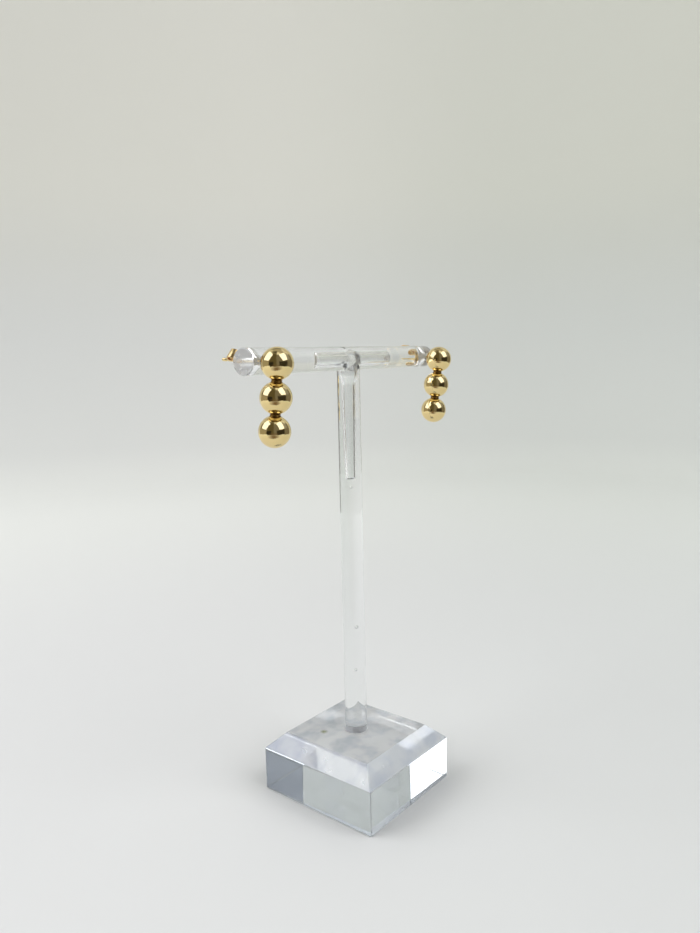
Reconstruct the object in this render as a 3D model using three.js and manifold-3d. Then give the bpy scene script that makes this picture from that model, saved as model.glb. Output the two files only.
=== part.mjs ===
// A pair of ball-drop stud earrings on their clear acrylic display stand.
//
// Units are millimetres, +Z is up. The origin is the middle of the base's underside, below the post.
// The base's sides run along X and Y. The crossbar runs nearly along X and is turned a little on the base.
// The earrings hang on the -Y side of the crossbar, and their ear pins pass through it towards +Y.

import * as THREE from "three";
import { ConvexGeometry } from "three/addons/geometries/ConvexGeometry.js";
import { mergeVertices } from "three/addons/utils/BufferGeometryUtils.js";
import Module from "manifold-3d";

const wasm = await Module();
wasm.setup();

// ---------------------------------------------------------------- driving dimensions

const CLEARANCE = 0.3; // between two pieces that touch on the real stand

// Base block: a square of cast acrylic with a chamfer round its top.
const BASE_LENGTH = 38.5; // along X
const BASE_WIDTH = 40.5; // along Y
const BASE_SIDE_HEIGHT = 13;
const CHAMFER_INSET = 4.8;
const CHAMFER_RISE = 4.6;
const SOCKET_DEPTH = 15.5;

// T-bar: the post and the crossbar, moulded in one.
const POST_DIAMETER = 6.6;
const BAR_DIAMETER = 6.7;
const BAR_LENGTH = 87.8;
const BAR_HEIGHT = 129.6; // of its axis above the table
const BAR_TWIST = 4.6; // degrees, of the crossbar on the base, seen from above
const BAR_EDGE = 0.3; // the rounding of its end faces
const PIN_HOLE_DIAMETER = 2.2;
const PIN_HOLE_REACH = 40.3; // from the post's axis to each hole

// Ball drop: three balls in a column, soldered to each other and to the ear pin.
const BALL_DIAMETER = 8;
const BALL_PITCH = 8.2;
const BALL_COUNT = 3;
const NECK_DIAMETER = 2.2;
const NECK_FLARE_DIAMETER = 3;
const NECK_FLARE_HEIGHT = 0.24; // of the solder cone at each end of a neck
const PIN_DIAMETER = 0.85;
const PIN_REACH = 10.1; // from the crossbar's axis to the tip
const PIN_NOTCH_DIAMETER = 0.6;
const PIN_NOTCH_LENGTH = 0.7;
const PIN_NOTCH_FROM_TIP = 1.5;

// Clutch: a strip of sheet with a curl at each end, slid on to the pin behind the crossbar.
const CLUTCH_SPAN = 6.4; // over both curls
const CLUTCH_DEPTH = 3.1; // along the pin
const CLUTCH_SHEET = 0.36;
const CLUTCH_PLATE_WIDTH = 4.4; // at the pin
const CLUTCH_CURL_WIDTH = 2.6;
const CLUTCH_CURL_RADIUS = 1.22; // of a curl's outside, along the span
const CLUTCH_CURL_TURNS = 1.2;
const CLUTCH_CURL_CLOSING = 0.52; // share of its size that a curl loses in one turn

// How each earring has settled in its hole, in degrees. `pinTilt` lifts the pin's tip, `lean` carries the
// column's foot back under the bar, `swing` carries it towards +X, and `clutchTurn` turns the top of the
// clutch towards +X about the pin.
const EARRINGS = [
  { name: "left", side: -1, pinTilt: 4, lean: 6, swing: 0.5, clutchTurn: -50 },
  { name: "right", side: 1, pinTilt: 8, lean: 6, swing: -2, clutchTurn: 0 },
];

// How finely round things are cut.
const ROD_SEGMENTS = 48;
const BALL_SEGMENTS = 32;
const SMALL_SEGMENTS = 16;
const CURL_STEPS = 22;
const TIP_STEPS = 4;

// How far a cutting solid runs past what it cuts.
const OVERRUN = 1;

// Worked out from the above.
const BASE_HEIGHT = BASE_SIDE_HEIGHT + CHAMFER_RISE;
const SOCKET_DIAMETER = POST_DIAMETER + 2 * CLEARANCE;
const POST_FOOT = BASE_HEIGHT - SOCKET_DEPTH + CLEARANCE; // height of the post's lower end
const BALL_REACH = (BAR_DIAMETER + BALL_DIAMETER) / 2 + CLEARANCE; // top ball's middle from the bar's axis
const CLUTCH_SEAT = BAR_DIAMETER / 2 + CLEARANCE; // the plate's front face from the bar's axis

// ---------------------------------------------------------------- materials

const clearAcrylic = new THREE.MeshStandardMaterial({
  color: 0xe6eef0,
  roughness: 0.05,
  metalness: 0,
  transparent: true,
  opacity: 0.45,
});
const polishedGold = new THREE.MeshStandardMaterial({
  color: 0xdcc07c,
  roughness: 0.12,
  metalness: 1,
});
const stampedGold = new THREE.MeshStandardMaterial({
  color: 0xd8b86a,
  roughness: 0.25,
  metalness: 1,
});

// ---------------------------------------------------------------- joining and cutting

// A closed three.js geometry as a solid, moved by an optional matrix.
function solid(geometry, matrix) {
  const bare = new THREE.BufferGeometry();
  bare.setAttribute("position", geometry.getAttribute("position").clone());
  if (geometry.index) bare.setIndex(geometry.index.clone());
  if (matrix) bare.applyMatrix4(matrix);
  const merged = mergeVertices(bare, 1e-4);
  return new wasm.Manifold(
    new wasm.Mesh({
      numProp: 3,
      vertProperties: new Float32Array(merged.getAttribute("position").array),
      triVerts: new Uint32Array(merged.index.array),
    }),
  );
}

// The solid's surface as a named mesh.
function piece(name, body, material) {
  const { vertProperties, triVerts } = body.getMesh();
  const indexed = new THREE.BufferGeometry();
  indexed.setAttribute("position", new THREE.BufferAttribute(vertProperties, 3));
  indexed.setIndex(new THREE.BufferAttribute(triVerts, 1));
  const geometry = indexed.toNonIndexed();
  geometry.computeVertexNormals();
  const mesh = new THREE.Mesh(geometry, material);
  mesh.name = name;
  return mesh;
}

const joined = (bodies) => bodies.reduce((sum, body) => sum.add(body));

// A lathe or a cylinder stands along Y. These lay it along another axis.
const turnedTo = {
  x: new THREE.Matrix4().makeRotationZ(-Math.PI / 2),
  y: new THREE.Matrix4(),
  z: new THREE.Matrix4().makeRotationX(Math.PI / 2),
};
const along = (axis, x, y, z) =>
  new THREE.Matrix4().makeTranslation(x, y, z).multiply(turnedTo[axis]);

// A round rod of [radius, position] stations, closed flat at both ends and standing along Y.
function turned(stations, segments) {
  const [, first] = stations[0];
  const [, last] = stations[stations.length - 1];
  const profile = [[0, first], ...stations, [0, last]];
  return new THREE.LatheGeometry(
    profile.map(([radius, at]) => new THREE.Vector2(radius, at)),
    segments,
  );
}

// ---------------------------------------------------------------- stand

function baseBlock() {
  const level = (inset, z) =>
    [-1, 1].flatMap((x) =>
      [-1, 1].map(
        (y) => new THREE.Vector3(x * (BASE_LENGTH / 2 - inset), y * (BASE_WIDTH / 2 - inset), z),
      ),
    );
  const block = new ConvexGeometry([
    ...level(0, 0),
    ...level(0, BASE_SIDE_HEIGHT),
    ...level(CHAMFER_INSET, BASE_HEIGHT),
  ]);
  const socketLength = SOCKET_DEPTH + OVERRUN;
  const socket = new THREE.CylinderGeometry(
    SOCKET_DIAMETER / 2,
    SOCKET_DIAMETER / 2,
    socketLength,
    ROD_SEGMENTS,
  );
  const socketMiddle = BASE_HEIGHT + OVERRUN - socketLength / 2;
  return solid(block).subtract(solid(socket, along("z", 0, 0, socketMiddle)));
}

// The T, with the crossbar's axis at z = 0 and along X.
function tBar() {
  const radius = BAR_DIAMETER / 2;
  const half = BAR_LENGTH / 2;
  const bar = turned(
    [
      [radius - BAR_EDGE, -half],
      [radius, -half + BAR_EDGE],
      [radius, half - BAR_EDGE],
      [radius - BAR_EDGE, half],
    ],
    ROD_SEGMENTS,
  );
  const postLength = BAR_HEIGHT - POST_FOOT;
  const post = new THREE.CylinderGeometry(
    POST_DIAMETER / 2,
    POST_DIAMETER / 2,
    postLength,
    ROD_SEGMENTS,
  );
  const hole = new THREE.CylinderGeometry(
    PIN_HOLE_DIAMETER / 2,
    PIN_HOLE_DIAMETER / 2,
    BAR_DIAMETER + 2 * OVERRUN,
    SMALL_SEGMENTS,
  );
  const tee = solid(bar, turnedTo.x).add(solid(post, along("z", 0, 0, -postLength / 2)));
  return EARRINGS.reduce(
    (body, { side }) => body.subtract(solid(hole, along("y", side * PIN_HOLE_REACH, 0, 0))),
    tee,
  );
}

// ---------------------------------------------------------------- earrings

// A neck between two balls, standing along Y with its middle at 0.
function neck() {
  const half = BALL_PITCH / 2;
  const gap = (BALL_PITCH - BALL_DIAMETER) / 2;
  const inside = half - BALL_DIAMETER / 4; // well inside each ball
  const rim = gap + NECK_FLARE_HEIGHT;
  const slim = NECK_DIAMETER / 2;
  const flare = NECK_FLARE_DIAMETER / 2;
  return turned(
    [
      [flare, -inside],
      [flare, -rim],
      [slim, -gap / 2],
      [slim, gap / 2],
      [flare, rim],
      [flare, inside],
    ],
    SMALL_SEGMENTS,
  );
}

// The ear pin, standing along Y from inside the top ball to its rounded tip, with a notch that the clutch
// snaps into.
function earPin() {
  const radius = PIN_DIAMETER / 2;
  const notch = PIN_NOTCH_DIAMETER / 2;
  const notchEnd = PIN_REACH - PIN_NOTCH_FROM_TIP;
  const notchStart = notchEnd - PIN_NOTCH_LENGTH;
  const shoulder = PIN_NOTCH_LENGTH / 4;
  const tip = [];
  for (let i = 0; i < TIP_STEPS; i++) {
    const angle = (i / TIP_STEPS) * (Math.PI / 2);
    tip.push([radius * Math.cos(angle), PIN_REACH - radius + radius * Math.sin(angle)]);
  }
  return turned(
    [
      [radius, -BALL_REACH],
      [radius, notchStart],
      [notch, notchStart + shoulder],
      [notch, notchEnd - shoulder],
      [radius, notchEnd],
      ...tip,
    ],
    SMALL_SEGMENTS,
  );
}

// One earring, its pin along Y through the origin and its column below the top ball. The column is soldered
// to the pin at a right angle, give or take the splay.
function ballDrop(splay) {
  const ball = new THREE.SphereGeometry(BALL_DIAMETER / 2, BALL_SEGMENTS, BALL_SEGMENTS / 2);
  const column = new THREE.Matrix4()
    .makeTranslation(0, -BALL_REACH, 0)
    .multiply(new THREE.Matrix4().makeRotationX(THREE.MathUtils.degToRad(splay)));
  const placed = (axis, z) => column.clone().multiply(along(axis, 0, 0, z));
  const bodies = [solid(earPin())];
  for (let i = 0; i < BALL_COUNT; i++) {
    bodies.push(solid(ball, placed("z", -i * BALL_PITCH)));
    if (i > 0) bodies.push(solid(neck(), placed("z", -(i - 0.5) * BALL_PITCH)));
  }
  return joined(bodies);
}

// The centre line of the clutch's strip in (span, depth), from the middle of its plate to the end of a curl.
function curlLine() {
  const half = CLUTCH_SHEET / 2;
  const across = CLUTCH_CURL_RADIUS - half;
  const deep = (CLUTCH_DEPTH - CLUTCH_SHEET) / 2;
  const middle = CLUTCH_SPAN / 2 - CLUTCH_CURL_RADIUS;
  const line = [new THREE.Vector2(0, half)];
  for (let i = 0; i <= CURL_STEPS; i++) {
    const turn = (CLUTCH_CURL_TURNS * i) / CURL_STEPS;
    const size = 1 - CLUTCH_CURL_CLOSING * turn;
    const angle = 2 * Math.PI * turn - Math.PI / 2;
    line.push(
      new THREE.Vector2(
        middle + across * size * Math.cos(angle),
        half + deep + deep * size * Math.sin(angle),
      ),
    );
  }
  return line;
}

// The strip's outline: the line pushed half a sheet to each side, and mirrored for the other curl.
function clutchProfile() {
  const line = curlLine();
  const side = (push) =>
    line.map((point, i) => {
      const before = line[Math.max(i - 1, 0)];
      const after = line[Math.min(i + 1, line.length - 1)];
      const run = after.clone().sub(before).normalize();
      return new THREE.Vector2(point.x - run.y * push, point.y + run.x * push);
    });
  const outer = side(-CLUTCH_SHEET / 2);
  const inner = side(CLUTCH_SHEET / 2);
  const oneSide = [...outer.slice(1), ...inner.slice(1).reverse()];
  const otherSide = oneSide.map(({ x, y }) => new THREE.Vector2(-x, y)).reverse();
  return new THREE.Shape([...oneSide, ...otherSide]);
}

// The plate's outline seen along the pin: widest at the pin, and as narrow as the curls at its ends.
function clutchOutline() {
  const narrow = CLUTCH_CURL_WIDTH / 2;
  const wide = CLUTCH_PLATE_WIDTH / 2;
  const end = CLUTCH_SPAN / 2 + OVERRUN;
  const waist = CLUTCH_SPAN / 2 - CLUTCH_CURL_RADIUS;
  const outline = new THREE.Shape();
  outline.moveTo(narrow, -end);
  outline.lineTo(narrow, -waist);
  outline.bezierCurveTo(wide, -waist, wide, -waist / 2, wide, 0);
  outline.bezierCurveTo(wide, waist / 2, wide, waist, narrow, waist);
  outline.lineTo(narrow, end);
  outline.lineTo(-narrow, end);
  outline.lineTo(-narrow, waist);
  outline.bezierCurveTo(-wide, waist, -wide, waist / 2, -wide, 0);
  outline.bezierCurveTo(-wide, -waist / 2, -wide, -waist, -narrow, -waist);
  outline.lineTo(-narrow, -end);
  return outline;
}

// One clutch, its span along Z and its depth along +Y from the plate's front face at y = 0.
function clutch() {
  const width = CLUTCH_PLATE_WIDTH + OVERRUN;
  const strip = new THREE.ExtrudeGeometry(clutchProfile(), { depth: width, bevelEnabled: false });
  const stripPlace = new THREE.Matrix4()
    .makeTranslation(width / 2, 0, 0)
    .multiply(new THREE.Matrix4().makeRotationY(-Math.PI / 2));
  const depth = CLUTCH_DEPTH + 2 * OVERRUN;
  const outline = new THREE.ExtrudeGeometry(clutchOutline(), {
    depth,
    bevelEnabled: false,
    curveSegments: 8,
  });
  const outlinePlace = new THREE.Matrix4()
    .makeTranslation(0, depth - OVERRUN, 0)
    .multiply(new THREE.Matrix4().makeRotationX(Math.PI / 2));
  const hole = new THREE.CylinderGeometry(
    PIN_DIAMETER / 2 + CLEARANCE,
    PIN_DIAMETER / 2 + CLEARANCE,
    2 * (CLUTCH_DEPTH + OVERRUN),
    SMALL_SEGMENTS,
  );
  return solid(strip, stripPlace).intersect(solid(outline, outlinePlace)).subtract(solid(hole));
}

// ---------------------------------------------------------------- assembly

const earringsOnStand = new THREE.Group();
earringsOnStand.add(piece("base_block", baseBlock(), clearAcrylic));

const crossbar = new THREE.Group();
crossbar.position.z = BAR_HEIGHT;
crossbar.rotation.z = THREE.MathUtils.degToRad(BAR_TWIST);
crossbar.add(piece("t_bar", tBar(), clearAcrylic));
earringsOnStand.add(crossbar);

for (const { name, side, pinTilt, lean, swing, clutchTurn } of EARRINGS) {
  const hung = new THREE.Group();
  hung.position.x = side * PIN_HOLE_REACH;
  hung.rotation.x = THREE.MathUtils.degToRad(pinTilt);

  const drop = piece(`${name}_ball_drop`, ballDrop(lean - pinTilt), polishedGold);
  drop.rotation.y = THREE.MathUtils.degToRad(-swing);

  const back = piece(`${name}_clutch`, clutch(), stampedGold);
  back.position.y = CLUTCH_SEAT;
  back.rotation.y = THREE.MathUtils.degToRad(clutchTurn);

  hung.add(drop, back);
  crossbar.add(hung);
}

export default earringsOnStand;
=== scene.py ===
"""Looks of a pair of ball-drop stud earrings on their clear acrylic display stand.

Every size is in millimetres in the CAD frame, +Z up, with the origin in the middle of the base's
underside. Meshes are scaled to metres as they become objects.
"""

from __future__ import annotations

import logging
import math
from collections.abc import Callable, Iterable, Sequence
from dataclasses import dataclass, replace
from enum import Enum, IntEnum
from functools import cache
from typing import Any

import bmesh
import bpy
from mathutils import Matrix, Vector

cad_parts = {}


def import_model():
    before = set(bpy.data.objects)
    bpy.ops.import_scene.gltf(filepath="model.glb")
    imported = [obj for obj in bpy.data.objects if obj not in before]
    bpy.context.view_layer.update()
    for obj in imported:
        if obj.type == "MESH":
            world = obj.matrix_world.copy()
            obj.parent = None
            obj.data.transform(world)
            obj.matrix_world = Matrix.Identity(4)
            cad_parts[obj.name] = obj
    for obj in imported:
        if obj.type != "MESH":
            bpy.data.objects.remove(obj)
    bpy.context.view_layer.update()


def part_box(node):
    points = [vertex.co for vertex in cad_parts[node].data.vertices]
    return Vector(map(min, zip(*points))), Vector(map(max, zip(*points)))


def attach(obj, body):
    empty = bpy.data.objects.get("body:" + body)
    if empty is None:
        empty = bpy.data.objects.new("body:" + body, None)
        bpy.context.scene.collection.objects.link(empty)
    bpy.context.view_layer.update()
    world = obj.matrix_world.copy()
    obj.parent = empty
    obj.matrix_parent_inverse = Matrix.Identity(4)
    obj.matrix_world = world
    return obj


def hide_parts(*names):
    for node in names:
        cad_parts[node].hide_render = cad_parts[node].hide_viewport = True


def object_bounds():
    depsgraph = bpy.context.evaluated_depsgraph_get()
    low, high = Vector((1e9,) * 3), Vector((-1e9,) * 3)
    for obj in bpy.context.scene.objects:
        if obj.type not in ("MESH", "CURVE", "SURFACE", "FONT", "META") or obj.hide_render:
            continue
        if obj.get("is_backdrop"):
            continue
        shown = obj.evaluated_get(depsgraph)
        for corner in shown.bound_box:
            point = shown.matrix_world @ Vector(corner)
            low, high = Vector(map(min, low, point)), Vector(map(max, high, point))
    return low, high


MM = 0.001  # metres in a millimetre
BODY = "root"
NEAR = 0.1  # how far from a wall, in millimetres, a point still counts as on it
CORNERS = ((-1, -1), (1, -1), (1, 1), (-1, 1))  # of a square, in order

log = logging.getLogger("earrings")


class Axis(Enum):
    """The coordinate axes, by the letter that Matrix.Rotation takes."""

    X = "X"
    Y = "Y"
    Z = "Z"


class Slot(Enum):
    """The record's material slots."""

    ACRYLIC = "clear_acrylic"
    GOLD = "polished_gold"
    STAMPED = "stamped_gold"


# ------------------------------------------------------------------------------ small helpers


def turn(degrees: float, axis: Axis) -> Matrix:
    """A rotation about a coordinate axis.

    Args:
        degrees: The angle, by the right-hand rule.
        axis: The axis to turn about.

    Returns:
        The 4x4 rotation matrix.
    """
    return Matrix.Rotation(math.radians(degrees), 4, axis.value)


def shift(x: float = 0.0, y: float = 0.0, z: float = 0.0) -> Matrix:
    """A 4x4 matrix that moves by (x, y, z)."""
    return Matrix.Translation((x, y, z))


def towards(azimuth: float, elevation: float) -> Vector:
    """The direction that points to a place round about.

    Args:
        azimuth: From +X towards +Y, in degrees.
        elevation: Above the horizon, in degrees.

    Returns:
        The direction, of length 1.
    """
    across, up = math.radians(azimuth), math.radians(elevation)
    flat = math.cos(up)
    return Vector((math.cos(across) * flat, math.sin(across) * flat, math.sin(up)))


def node_box(node: str) -> tuple[Vector, Vector]:
    """The lowest and highest corner of a CAD node, in millimetres."""
    low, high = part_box(node)
    return low / MM, high / MM


def linear(code: str) -> tuple[float, float, float, float]:
    """Turns an sRGB hex colour into linear RGBA.

    Args:
        code: A colour such as "#F3DF9E".

    Returns:
        Linear red, green and blue with an alpha of 1.
    """
    digits = code.lstrip("#")
    channels = [int(digits[i : i + 2], 16) / 255 for i in (0, 2, 4)]
    bent = [c / 12.92 if c <= 0.04045 else ((c + 0.055) / 1.055) ** 2.4 for c in channels]
    return (bent[0], bent[1], bent[2], 1.0)


def add_node(
    tree: bpy.types.NodeTree,
    kind: str,
    settings: dict[str | int, Any] | None = None,
    links: dict[str | int, bpy.types.NodeSocket] | None = None,
) -> bpy.types.Node:
    """Adds a node to a tree, sets it up and links its inputs.

    Args:
        tree: The node tree.
        kind: The node's type, without the leading "ShaderNode".
        settings: Values by property name, or by the name or number of an input socket.
        links: Output sockets by the name or number of the input that each feeds.

    Returns:
        The new node.
    """
    node = tree.nodes.new(f"ShaderNode{kind}")
    for name, value in (settings or {}).items():
        if isinstance(name, int) or name in node.inputs:
            node.inputs[name].default_value = value
        else:
            setattr(node, name, value)
    for name, source in (links or {}).items():
        tree.links.new(source, node.inputs[name])
    return node


def new_material(name: str) -> tuple[bpy.types.Material, bpy.types.NodeTree]:
    """Makes an empty node material.

    Args:
        name: The material's name.

    Returns:
        The material and its tree.
    """
    material = bpy.data.materials.new(name)
    material.use_nodes = True
    material.node_tree.nodes.clear()
    return material, material.node_tree


# ------------------------------------------------------------------------------ mesh making


def bridge(bm: bmesh.types.BMesh, rings: Sequence[Sequence[bmesh.types.BMVert]]) -> None:
    """Joins closed rings by walls of faces, each ring to the next.

    Args:
        bm: The mesh that the rings are in.
        rings: The rings, each with the same number of points, or a pole with one.
    """
    for lower, upper in zip(rings, rings[1:]):
        count = max(len(lower), len(upper))
        for i in range(count):
            way_round = ((lower, i), (lower, i + 1), (upper, i + 1), (upper, i))
            corners = [ring[k % len(ring)] for ring, k in way_round]
            bm.faces.new(list(dict.fromkeys(corners)))


def revolve(profile: Sequence[tuple[float, float]], segments: int) -> bmesh.types.BMesh:
    """Turns a profile about Z into a closed skin.

    Args:
        profile: (radius, height) stations from bottom to top. A radius of 0 is a pole.
        segments: How many steps go round.

    Returns:
        The mesh, with its faces pointing out.
    """
    bm = bmesh.new()
    rings: list[list[bmesh.types.BMVert]] = []
    for radius, height in profile:
        if radius <= 0:
            rings.append([bm.verts.new((0, 0, height))])
            continue
        angles = (2 * math.pi * i / segments for i in range(segments))
        rings.append([bm.verts.new((radius * math.cos(a), radius * math.sin(a), height)) for a in angles])
    bridge(bm, rings)
    bmesh.ops.recalc_face_normals(bm, faces=bm.faces)
    return bm


def arc(
    centre: tuple[float, float], radius: float, start: float, end: float, steps: int
) -> list[tuple[float, float]]:
    """Points on an arc of a profile.

    Args:
        centre: The arc's middle as (radius, height).
        radius: The arc's own radius.
        start: The first angle in degrees, 0 pointing outwards and 90 up.
        end: The last angle in degrees.
        steps: How many stretches the arc is cut into.

    Returns:
        The points, both ends included.
    """
    angles = [math.radians(start + (end - start) * i / steps) for i in range(steps + 1)]
    return [(centre[0] + radius * math.cos(a), centre[1] + radius * math.sin(a)) for a in angles]


def make_object(name: str, bm: bmesh.types.BMesh, place: Matrix | None = None) -> bpy.types.Object:
    """Turns a mesh in millimetres into a smooth-shaded object in metres.

    Args:
        name: The object's name.
        bm: The mesh, which is used up.
        place: Where it goes, in millimetres.

    Returns:
        The object, sitting at the origin with its place in its mesh.
    """
    bm.transform(Matrix.Scale(MM, 4) @ (place or Matrix.Identity(4)))
    mesh = bpy.data.meshes.new(name)
    bm.to_mesh(mesh)
    bm.free()
    mesh.shade_smooth()
    obj = bpy.data.objects.new(name, mesh)
    bpy.context.scene.collection.objects.link(obj)
    return obj


def bake_modifiers(obj: bpy.types.Object) -> None:
    """Turns an object's modifiers into its mesh.

    Args:
        obj: The object, which keeps its name and its mesh's name.
    """
    bpy.context.view_layer.update()
    evaluated = obj.evaluated_get(bpy.context.evaluated_depsgraph_get())
    result = bpy.data.meshes.new_from_object(evaluated)
    obj.modifiers.clear()
    old, obj.data = obj.data, result
    result.name = obj.name
    bpy.data.meshes.remove(old)


def carve(obj: bpy.types.Object, tools: Iterable[bpy.types.Object], operation: str) -> None:
    """Joins tools to an object, or cuts them out of it, with exact booleans.

    Args:
        obj: The object that is changed.
        tools: The objects joined or cut out, which are then removed.
        operation: "UNION" or "DIFFERENCE".
    """
    for tool in tools:
        boolean = obj.modifiers.new(operation.lower(), "BOOLEAN")
        boolean.operation = operation
        boolean.solver = "EXACT"
        boolean.object = tool
        bake_modifiers(obj)
        bpy.data.meshes.remove(tool.data)


def dress(
    obj: bpy.types.Object,
    finishes: Iterable[Finish],
    kind: Callable[[bpy.types.MeshPolygon], int] | None = None,
) -> None:
    """Gives an object its finishes.

    Args:
        obj: The object.
        finishes: Its finishes, in slot order.
        kind: Tells which of them a face gets, where there is more than one.
    """
    obj.data.materials.clear()
    for finish in finishes:
        obj.data.materials.append(finish.make())
    if kind:
        for face in obj.data.polygons:
            face.material_index = int(kind(face))


def stand_for(obj: bpy.types.Object, node: str) -> None:
    """Makes a piece ride on the body and hides the CAD node that it stands for.

    Args:
        obj: The finished piece.
        node: The CAD node that it stands for.
    """
    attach(obj, BODY)
    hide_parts(node)
    log.info("%s stands for %s with %d faces", obj.name, node, len(obj.data.polygons))


# ------------------------------------------------------------------------------ round rods


@dataclass(frozen=True)
class Rod:
    """A round rod or bore between two points, whose surface is known exactly.

    Attributes:
        start: The middle of its first end.
        end: The middle of its last end.
        radius: Its radius.
        start_edge: The rounding of its first end, up to its radius for a dome.
        end_edge: The rounding of its last end.
        taper: How much radius it loses on its way to its last end.
        segments: How many steps go round.
        empty: True for a bore, whose surface faces its own axis.
        edge_steps: How many steps each rounding has.
    """

    start: Vector
    end: Vector
    radius: float
    start_edge: float = 0.0
    end_edge: float = 0.0
    taper: float = 0.0
    segments: int = 256
    empty: bool = False
    edge_steps: int = 6

    @property
    def axis(self) -> Vector:
        """The direction from start to end."""
        return (self.end - self.start).normalized()

    @property
    def length(self) -> float:
        """The distance between its ends."""
        return (self.end - self.start).length

    def mesh(self, stations: Sequence[float] = ()) -> bmesh.types.BMesh:
        """The rod's closed skin.

        Args:
            stations: Heights above its start where the skin gets a ring.

        Returns:
            The mesh, in place.
        """
        first, last = self.start_edge, self.end_edge
        end_radius = self.radius - self.taper
        profile = [(0.0, 0.0), (self.radius, 0.0)]
        if first:
            profile[1:] = arc((self.radius - first, first), first, -90, 0, self.edge_steps)
        profile += [(self.radius, station) for station in stations]
        if last:
            profile += arc((end_radius - last, self.length - last), last, 0, 90, self.edge_steps)
        else:
            profile.append((end_radius, self.length))
        profile = [point for point in profile if point[0] > 1e-6]
        bm = revolve([(0.0, 0.0), *profile, (0.0, self.length)], self.segments)
        lay = Vector((0, 0, 1)).rotation_difference(self.axis).to_matrix().to_4x4()
        bm.transform(shift(*self.start) @ lay)
        return bm

    def reading(self, point: Vector) -> tuple[float, Vector]:
        """How far a point lies outside the rod, and which way the surface faces there.

        Args:
            point: A point in millimetres.

        Returns:
            The signed distance, and the direction that points out of the solid material.
        """
        axis, length = self.axis, self.length
        along = (point - self.start).dot(axis)
        radial = point - self.start - axis * along
        beyond_middle = along > length / 2
        edge = self.end_edge if beyond_middle else self.start_edge
        outwards = axis if beyond_middle else -axis
        radius = self.radius - self.taper * min(max(along / length, 0.0), 1.0)
        over_side = radial.length - (radius - edge)
        over_end = (along - length if beyond_middle else -along) + edge
        corner = Vector((max(over_side, 0.0), max(over_end, 0.0)))
        distance = corner.length + min(max(over_side, over_end), 0.0) - edge
        if corner.length < 1e-9:
            corner = Vector((1, 0)) if over_side > over_end else Vector((0, 1))
        side = radial.normalized() + axis * (self.taper / length)
        facing = (side * corner.x + outwards * corner.y).normalized()
        return distance, -facing if self.empty else facing


@dataclass(frozen=True)
class Cavity:
    """A sealed hollow of rod-shaped limbs that flow into each other.

    Attributes:
        limbs: The rods whose insides it joins.
        blend: How far from a joint the limbs start to flow together.
        grain: The size of its skin's faces.
        settling: How often each point is drawn to the true surface.
    """

    limbs: tuple[Rod, ...]
    blend: float = 2.6
    grain: float = 0.15
    settling: int = 3

    def inner_reading(self, point: Vector) -> tuple[float, Vector]:
        """How far a point lies outside the hollow, and which way leads off from it.

        Args:
            point: A point in millimetres.

        Returns:
            The signed distance, and the direction away from the hollow, shorter than 1 in a blend.
        """
        distance, facing = self.limbs[0].reading(point)
        for limb in self.limbs[1:]:
            other_distance, other_facing = limb.reading(point)
            if other_distance < distance:
                distance, other_distance = other_distance, distance
                facing, other_facing = other_facing, facing
            share = max(self.blend - (other_distance - distance), 0.0) / self.blend
            distance -= share * share * self.blend / 4
            facing = facing * (1 - share / 2) + other_facing * (share / 2)
        return distance, facing

    def reading(self, point: Vector) -> tuple[float, Vector]:
        """The distance off the hollow's wall, and the direction from the solid into the hollow."""
        distance, facing = self.inner_reading(point)
        return distance, -facing.normalized()

    def build(self, name: str) -> bpy.types.Object:
        """Builds the hollow's skin.

        Args:
            name: The skin's name.

        Returns:
            The skin, with its faces pointing into the hollow.
        """
        obj = make_object(name, self.limbs[0].mesh())
        carve(obj, [make_object("limb_tool", limb.mesh()) for limb in self.limbs[1:]], "UNION")
        remesh = obj.modifiers.new("remesh", "REMESH")
        remesh.mode = "VOXEL"
        remesh.voxel_size = self.grain * MM
        bake_modifiers(obj)
        for vertex in obj.data.vertices:
            point = vertex.co / MM
            for _ in range(self.settling):
                distance, facing = self.inner_reading(point)
                point -= facing * (distance / max(facing.length_squared, 0.25))
            vertex.co = point * MM
        obj.data.flip_normals()
        return obj


def true_normals(
    obj: bpy.types.Object, rods: Sequence[Rod | Cavity], tolerance: float = 0.01, agreement: float = 0.6
) -> None:
    """Gives each face that lies on a known surface its exact normals, and leaves the others flat.

    Clear material shows every facet of a polygon mesh by refraction, so its round walls need the
    normals of the true cylinders.

    Args:
        obj: The object, in metres.
        rods: The rods, bores and hollows that its round walls belong to.
        tolerance: How far a face's middle may lie off a surface, in millimetres.
        agreement: The cosine that a true normal has with its face's own, at the least.
    """
    mesh = obj.data
    corners = [v.co / MM for v in mesh.vertices]
    normals: list[Vector] = [Vector()] * len(mesh.loops)
    for face in mesh.polygons:
        middle = face.center / MM
        readings = [(abs(rod.reading(middle)[0]), i) for i, rod in enumerate(rods)]
        off, nearest = min(readings) if readings else (math.inf, 0)
        for loop in face.loop_indices:
            flat = face.normal.copy()
            if off < tolerance:
                facing = rods[nearest].reading(corners[mesh.loops[loop].vertex_index])[1]
                flat = facing if facing.dot(flat) > agreement else flat
            normals[loop] = flat
    mesh.normals_split_custom_set(normals)


# ------------------------------------------------------------------------------ finishes


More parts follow.
